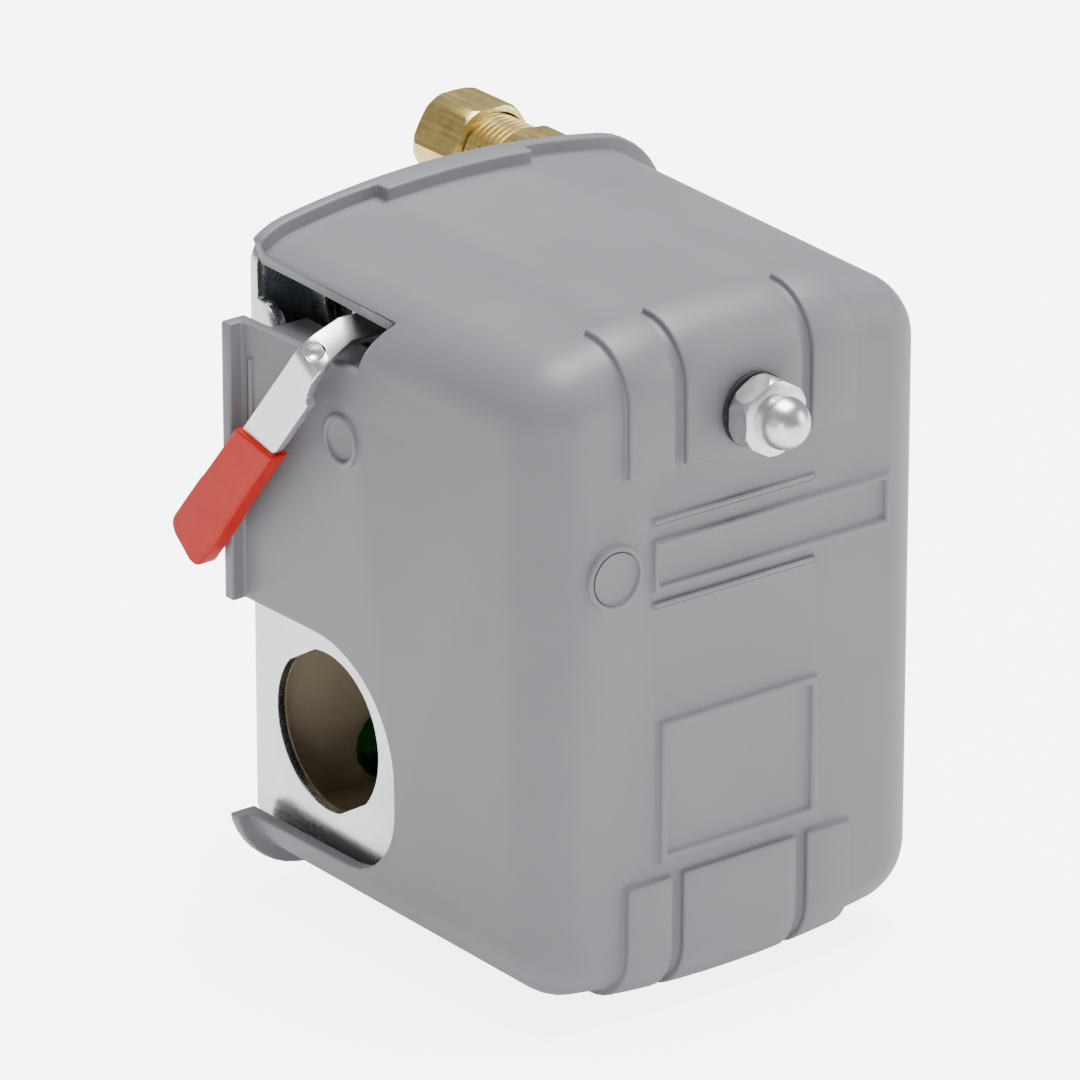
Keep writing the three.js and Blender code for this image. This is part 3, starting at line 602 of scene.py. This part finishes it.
valve_x, valve_z = 20.9, 65.4
flange_holes = ((17.4, PORT_Z), (-17.4, PORT_Z), (0, 50.4), (0, 15.6))
bolt_room, ground_room, ground_z = 2.4, 2.3, -6.2
for x, z, radius in (
    (0, PORT_Z, 13), (stud_x, stud_z, thread_room), (-13.5, 57.5, 2.2), (valve_x, valve_z, 3.1),
    *((x, z, bolt_room) for x, z in flange_holes),
    (-9.5, ground_z, ground_room), (9.5, ground_z, ground_room),
):
    cut(channel, rod("hole", "Y", (x, 64, z), radius, 6, 48))
for x in (-29, 29):
    cut(channel, rod("hole", "X", (x, 31, 24), 1.8, 6, 24))
for x in (-13, 13):
    cut(channel, rod("hole", "Z", (x, 31, -12.3), 1.9, 6, 24))
soften(channel, 0.16, 2)

zinc_plate = Finish("zinc_plate")
zinc_cloud = zinc_plate.grain(9, 4)
zinc_roll = zinc_plate.grain(0.7, 3, (1, 0.06, 1))
zinc_speck = zinc_plate.grain(0.3, 2)

# Painted light and shade inside the pressing. Seen past the lip, the floor and the low part of the
# walls are painted a dull warm tone that stands in for light falling in through the conduit holes.
# Higher up, next to the back plate's edge, painted shade turns the plating a darker grey.
inside_place = [
    zinc_plate.node("ShaderNodeSeparateXYZ", {}, {
        "Vector": zinc_plate.node("ShaderNodeTexCoord", {}, {}, output=3)}, output=axis)
    for axis in range(3)
]
inner_side, inner_back, inner_floor = 0.0282, -0.0211, -0.0452
painted_light_top, painted_shade_front = 0.015, -0.025
off_centre = zinc_cloud.maths("ABSOLUTE", inside_place[0], 0)
painted_inside_mask = zinc_cloud.maths("LESS_THAN", off_centre, inner_side)
painted_inside_mask = painted_inside_mask * zinc_cloud.maths("LESS_THAN", inside_place[1], inner_back)
painted_inside_mask = painted_inside_mask * zinc_cloud.maths("GREATER_THAN", inside_place[2], inner_floor)
painted_light_low = painted_inside_mask * zinc_cloud.maths("LESS_THAN", inside_place[2], painted_light_top)
painted_shade_high = (painted_inside_mask - painted_light_low) * zinc_cloud.maths("GREATER_THAN", inside_place[1], painted_shade_front)
# The middle stop is the painted shade's grey and the last stop the painted light's warm tone; where
# the painted light lies the zinc is also less metallic and rougher.
zinc_plate.feed(
    Base_Color=zinc_plate.shade(
        0.1 * zinc_cloud + 0.45 * painted_shade_high + 0.9 * painted_light_low,
        (0.04, tint(218, 221, 220)), (0.5, tint(104, 112, 120)), (0.95, tint(190, 174, 146))),
    Metallic=1.0 - 0.8 * painted_light_low - 0.4 * painted_shade_high,
    Roughness=0.16 + 0.1 * zinc_cloud + 0.12 * zinc_roll + 0.25 * painted_light_low,
)
zinc_plate.bump(0.6 * zinc_roll + 0.4 * zinc_speck, 0.012, 0.5)
coat(channel, zinc_plate)
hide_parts("frame")
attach(channel, "base")


# ---------------------------------------------------------------- auto/off lever
# A strip of bright-plated steel. It turns on a pin beside the bracket, comes out sideways through
# the cover's opening, bends over and runs down and back along the wall. A pressed dart stiffens
# the bend.

arm_top = at(0, 39.4, 61.9)
arm_lean = Matrix.Rotation(math.radians(39.57), 4, "X")


def lay_on_arm(piece):
    """Turns a piece made upright round the arm's top, so that its down runs along the arm."""
    place = Matrix.Translation(Vector((0, arm_top.y, arm_top.z)))
    piece.data.transform(place @ arm_lean)
    return piece


def upright(name, x, y, z):
    """A box in the arm's own upright millimetres: across the arm is y, down the arm is -z."""
    low, high = (Vector((x[i], y[i], z[i])) / 1000 for i in (0, 1))
    bpy.ops.mesh.primitive_cube_add(size=1, location=(low + high) / 2, scale=high - low)
    return settle(bpy.context.object, name)


outer, bend, crest = -38.1, 3.0, 0.5
bpy.ops.mesh.primitive_plane_add(size=1, rotation=(0, math.pi / 2, 0))
lever = settle(bpy.context.object, "lever_strip")
stations = [(0, -39.5, 3.1), (0, -5.3, 3.1), (0.5, -4.8, 2.6), (0.75, crest - bend, 2.4)]
activate(lever)
for point in lever.data.vertices:
    low = point.co.z < 0
    middle_y, height, half = stations[0] if low else stations[1]
    point.co = Vector((outer, middle_y + math.copysign(half, point.co.y), height)) / 1000
bpy.ops.object.mode_set(mode="EDIT")
bpy.ops.mesh.select_mode(type="EDGE")
bpy.ops.mesh.select_all(action="DESELECT")
bpy.ops.object.mode_set(mode="OBJECT")
for edge in lever.data.edges:
    edge.select = all(lever.data.vertices[i].co.z > -0.01 for i in edge.vertices)
bpy.ops.object.mode_set(mode="EDIT")
for (y0, z0, half0), (y1, z1, half1) in zip(stations[1:], stations[2:]):
    bpy.ops.mesh.extrude_edges_move(
        TRANSFORM_OT_translate={"value": (0, (y1 - y0) / 1000, (z1 - z0) / 1000)})
    bpy.ops.transform.resize(
        value=(1, half1 / half0, 1), center_override=Vector((outer, y1, z1)) / 1000)
bpy.ops.mesh.spin(
    steps=12, angle=math.radians(-90), axis=(0, 1, 0),
    center=Vector((outer + bend, 0, crest - bend)) / 1000)
for shift in (4, 3.5, 4):
    bpy.ops.mesh.extrude_edges_move(TRANSFORM_OT_translate={"value": (shift / 1000, 0, 0)})
activate(lever)
for point in lever.data.vertices:
    reach = min(max((point.co.x * 1000 - outer) / 7, 0), 1)
    y = point.co.y * 1000 - 0.75
    if point.co.z * 1000 > crest - bend + 0.01 or reach > 0:
        point.co.y = (0.75 + 2.5 * reach + y * (1 - 0.2 * reach)) / 1000
bpy.ops.object.mode_set(mode="EDIT")
bpy.ops.mesh.select_all(action="SELECT")
bpy.ops.mesh.remove_doubles(threshold=0.00001)
bpy.ops.mesh.normals_make_consistent(inside=False)
activate(lever)
if sum(face.normal.x for face in lever.data.polygons if face.center.x * 1000 < outer + 0.1) > 0:
    lever.data.flip_normals()
wall = lever.modifiers.new("wall", "SOLIDIFY")
wall.thickness = steel / 1000
wall.offset = -1
bpy.ops.object.modifier_apply(modifier=wall.name)
bpy.ops.mesh.primitive_uv_sphere_add(
    segments=32, ring_count=16, location=Vector((outer + 1.4, 1.5, 0.05)) / 1000,
    rotation=(0, math.radians(60), 0))
bpy.context.object.scale = (0.0008, 0.0011, 0.0013)
cut(lever, settle(bpy.context.object, "dart"))
tip = rod("tip", "X", (outer + 0.75, PORT_Y, PORT_Z - 39.3), 3.05, 1.5, 48)
fuse(lever, tip)
lay_on_arm(lever)
fuse(lever, rod("ear", "X", (-24.35, pivot_y, pivot_z), 2.6, 1.5, 48))
soften(lever, 0.25, 3)

lever_plate = Finish("lever_nickel")
lever_cloud = lever_plate.grain(5, 3)
lever_lines = lever_plate.grain(0.5, 2, (1, 0.2, 0.2))
lever_plate.feed(
    Base_Color=lever_plate.shade(
        lever_cloud, (0.35, tint(226, 228, 234)), (0.68, tint(238, 230, 228))),
    Metallic=1.0,
    Roughness=0.2 + 0.12 * lever_cloud + 0.08 * lever_lines,
)
lever_plate.bump(lever_lines, 0.008, 0.5)
coat(lever, lever_plate)
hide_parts("auto_off_lever")
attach(lever, "lever")

pin = rod("lever_pin", "X", (-22.6, pivot_y, pivot_z), 1.2, 7.4, 32)
fuse(pin, rod("head", "X", (-25.95, pivot_y, pivot_z), 1.7, 1.1, 32))
fuse(pin, rod("head", "X", (-18.8, pivot_y, pivot_z), 1.8, 1, 32))
soften(pin, 0.25, 3, 50)
coat(pin, bright_plate)
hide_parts("lever_pivot_pin")
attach(pin, "lever")


# ---------------------------------------------------------------- lever grip
# A dipped sleeve in orange-red vinyl on the lever's end, slightly waisted, with a soft sheen.

grip = upright("grip_sleeve", (outer - 0.65, outer + 2.1), (-3.7, 3.7), (-44.5, -18.4))
activate(grip)
bpy.ops.object.mode_set(mode="EDIT")
for height in (-42, -39, -36, -31, -26, -22):
    bpy.ops.mesh.select_all(action="SELECT")
    bpy.ops.mesh.bisect(plane_co=(0, 0, height / 1000), plane_no=(0, 0, 1))
activate(grip)
for point in grip.data.vertices:
    height = point.co.z * 1000
    width = 1 + 0.05 * math.cos((height + 40) / 5.5)
    point.co.y *= width
    if height > -18.5:
        point.co.z -= point.co.y * 0.55 + 0.0003


def near_tip(a, b):
    low = max(a.z, b.z) < PORT_Z - 42.5
    return low and abs(a.x - b.x) > 1 and abs(a.y - PORT_Y) > 2


round_edges(grip, near_tip, 2.0, 6)
skin = grip.modifiers.new("skin", "REMESH")
skin.mode = "VOXEL"
skin.voxel_size = 0.00022
bpy.ops.object.modifier_apply(modifier=skin.name)
flow = grip.modifiers.new("flow", "SMOOTH")
flow.iterations = 9
bpy.ops.object.modifier_apply(modifier=flow.name)
lay_on_arm(grip)
activate(grip)
bpy.ops.object.shade_smooth()

red_vinyl = Finish("red_vinyl")
vinyl_cloud = red_vinyl.grain(6, 3)
vinyl_grain = red_vinyl.grain(0.6, 2)
red_vinyl.feed(
    Base_Color=red_vinyl.shade(
        vinyl_cloud, (0.3, tint(176, 14, 0)), (0.72, tint(188, 26, 2))),
    Roughness=0.34 + 0.12 * vinyl_grain,
    Coat_Weight=0.02 + 0.06 * vinyl_cloud,
)
red_vinyl.feed(Coat_Roughness=0.25, Specular_IOR_Level=0.15)
red_vinyl.bump(0.7 * vinyl_cloud + 0.3 * vinyl_grain, 0.05, 0.4)
coat(grip, red_vinyl)
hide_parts("lever_grip")
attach(grip, "lever")


# ---------------------------------------------------------------- release valve fitting
# The release valve is machined from brass hexagon bar. Its body screws through the back plate,
# and a compression nut on its threaded end holds the thin tube that vents the compressor.

def threaded_rod(name, centre, radius, length, pitch, depth):
    """A rod along Y with a groove at every pitch."""
    piece = rod(name, "Y", centre, radius, length, 64)
    front = centre[1] - length / 2
    roots = [front + pitch * i for i in range(1, int(length / pitch))]
    edges = (-0.32, 0, 0.32)
    slice_at(piece, "Y", *[root + pitch * shift for root in roots for shift in edges])
    for point in piece.data.vertices:
        place = millimetres(point.co)
        if min(abs(place.y - root) for root in roots) < 0.01:
            scale = 1 - depth / radius
            place.x = centre[0] + (place.x - centre[0]) * scale
            place.z = centre[2] + (place.z - centre[2]) * scale
            point.co = at(*place)
    return piece


valve = hexagon("valve_body", (valve_x, 68.55, valve_z), 11.1, 7.1, 6.3, 0.6)
fuse(valve, threaded_rod("thread", (valve_x, 77.6, valve_z), 5.55, 11.2, 1.06, 0.6))
fuse(valve, rod("stem", "Y", (valve_x, 63.5, valve_z), 2.8, 3.6, 48))
cut(valve, rod("bore", "Y", (valve_x, 72, valve_z), 1.6, 24, 32))
cut(valve, rod("bore", "Y", (valve_x, 82.5, valve_z), 3.35, 7, 48))
cut(valve, rod("bore", "Y", (valve_x, 70.15, valve_z), 3.7, 8.7, 48))
bpy.ops.object.shade_smooth_by_angle(angle=crisp_angle)

brass = Finish("machined_brass")
brass_streaks = brass.grain(0.5, 3, (1, 0.04, 1))
brass_patina = brass.grain(3.5, 4)
brass.feed(
    Base_Color=brass.shade(
        0.45 * brass_patina + 0.55 * brass_streaks,
        (0.32, tint(190, 156, 88)), (0.68, tint(250, 228, 150))),
    Metallic=1.0,
    Roughness=0.2 + 0.14 * brass_streaks + 0.12 * brass_patina,
)
brass.bump(brass_streaks, 0.03, 0.6)
coat(valve, brass)
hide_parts("valve_body")
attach(valve, "base")

tube_nut = hexagon("tube_nut", (valve_x, 83.9, valve_z), 12.7, 9.4, 7.0, 1.1)
cut(tube_nut, rod("bore", "Y", (valve_x, 82, valve_z), 5.85, 7.2, 64))
cut(tube_nut, rod("bore", "Y", (valve_x, 84, valve_z), 3.4, 12, 48))
bpy.ops.object.shade_smooth_by_angle(angle=crisp_angle)
coat(tube_nut, brass)
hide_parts("compression_nut")
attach(tube_nut, "base")


# ---------------------------------------------------------------- pressure flange
# The flange is a zinc die casting that clamps the diaphragm to the back plate with four screws.
# Its hexagon end takes a spanner and has the pipe thread inside.

flange = rod("flange_casting", "Y", (0, 68.3, PORT_Z), 21, 4, 96)
boss = rod("boss", "Y", (0, 72.1, PORT_Z), 12.1, 4, 64)
fuse(flange, boss)
soften(flange, 0.4, 3)
fuse(flange, hexagon("end", (0, 79.25, PORT_Z), 22, 11.5, 12.3, 1.0))
chamber = rod("chamber", "Y", (0, 67, PORT_Z), 14, 3, 64)
cut(flange, chamber, rod("bore", "Y", (0, 76, PORT_Z), 5.0, 20, 64))
cut(flange, threaded_rod("thread", (0, 79, PORT_Z), 5.9, 13, 1.4, 0.7))
for x, z in flange_holes:
    cut(flange, rod("hole", "Y", (x, 68, z), bolt_room, 8, 32))
bpy.ops.object.shade_smooth_by_angle(angle=crisp_angle)

die_cast = Finish("die_cast_zinc")
cast_skin = die_cast.grain(0.8, 4)
cast_cloud = die_cast.grain(12, 3)
die_cast.feed(
    Base_Color=die_cast.shade(
        cast_cloud, (0.3, tint(158, 160, 162)), (0.7, tint(182, 183, 184))),
    Metallic=0.9,
    Roughness=0.42 + 0.2 * cast_skin,
)
die_cast.bump(cast_skin, 0.05, 0.6)
coat(flange, die_cast)
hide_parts("pressure_flange")
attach(flange, "base")

for number, hole in enumerate((0, 2, 1, 3), 1):
    x, z = flange_holes[hole]
    screw = hexagon(f"flange_bolt_{number}", (x, 72.1, z), 7, 3, 3.95, 0.4, 10 * number)
    fuse(screw, rod("shank", "Y", (x, 66.3, z), 2.1, 9, 32))
    bpy.ops.object.shade_smooth_by_angle(angle=crisp_angle)
    coat(screw, zinc_plate)
    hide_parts(f"flange_screw_{number}")
    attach(screw, "base")


# ---------------------------------------------------------------- works inside the cover
# The plate, springs, adjusting nuts, terminals and contacts keep the shapes of the frame they
# were laid out on, and take the finish of the real piece: plated steel, phenolic or brass.

spring_steel = Finish("spring_steel")
spring_tone = spring_steel.grain(0.9, 3)
spring_steel.feed(
    Base_Color=spring_steel.shade(
        spring_tone, (0.3, tint(132, 137, 143)), (0.7, tint(168, 172, 176))),
    Metallic=1.0,
    Roughness=0.25 + 0.2 * spring_tone,
)
spring_steel.bump(spring_tone, 0.01, 0.4)

phenolic = Finish("black_phenolic")
phenolic_fleck = phenolic.grain(0.4, 4)
phenolic.feed(
    Base_Color=phenolic.shade(phenolic_fleck, (0.4, tint(26, 25, 25)), (0.8, tint(58, 54, 50))),
    Roughness=0.35 + 0.2 * phenolic_fleck,
)
phenolic.bump(phenolic_fleck, 0.02, 0.5)

copper = Finish("contact_copper")
copper_tone = copper.grain(1.5, 3)
copper.feed(
    Base_Color=copper.shade(copper_tone, (0.3, tint(170, 96, 64)), (0.7, tint(206, 134, 98))),
    Metallic=1.0,
    Roughness=0.25 + 0.2 * copper_tone,
)
copper.bump(copper_tone, 0.01, 0.4)

green_steel = Finish("green_screw")
green_tone = green_steel.grain(1.1, 3)
green_steel.feed(
    Base_Color=green_steel.shade(green_tone, (0.3, tint(24, 84, 44)), (0.7, tint(40, 112, 62))),
    Metallic=0.8,
    Roughness=0.25 + 0.2 * green_tone,
)
green_steel.bump(green_tone, 0.01, 0.4)

kept = {
    "zinc_plate": zinc_plate, "bright_plate": bright_plate, "spring_steel": spring_steel,
    "black_plastic": phenolic, "brass": brass, "copper": copper, "green_plate": green_steel,
    "rubber": black_rubber, "die_cast": die_cast,
}
replaced = {
    "cover", "cover_nut", "cover_nut_washer", "frame", "auto_off_lever", "lever_pivot_pin",
    "lever_grip", "valve_body", "compression_nut", "pressure_flange",
    "flange_screw_1", "flange_screw_2", "flange_screw_3", "flange_screw_4",
}
for part in frame["record"]["subparts"]:
    if part["node"] not in replaced:
        coat(bpy.data.objects[part["node"]], kept[part["material_slot"]])


low, high = cad_box
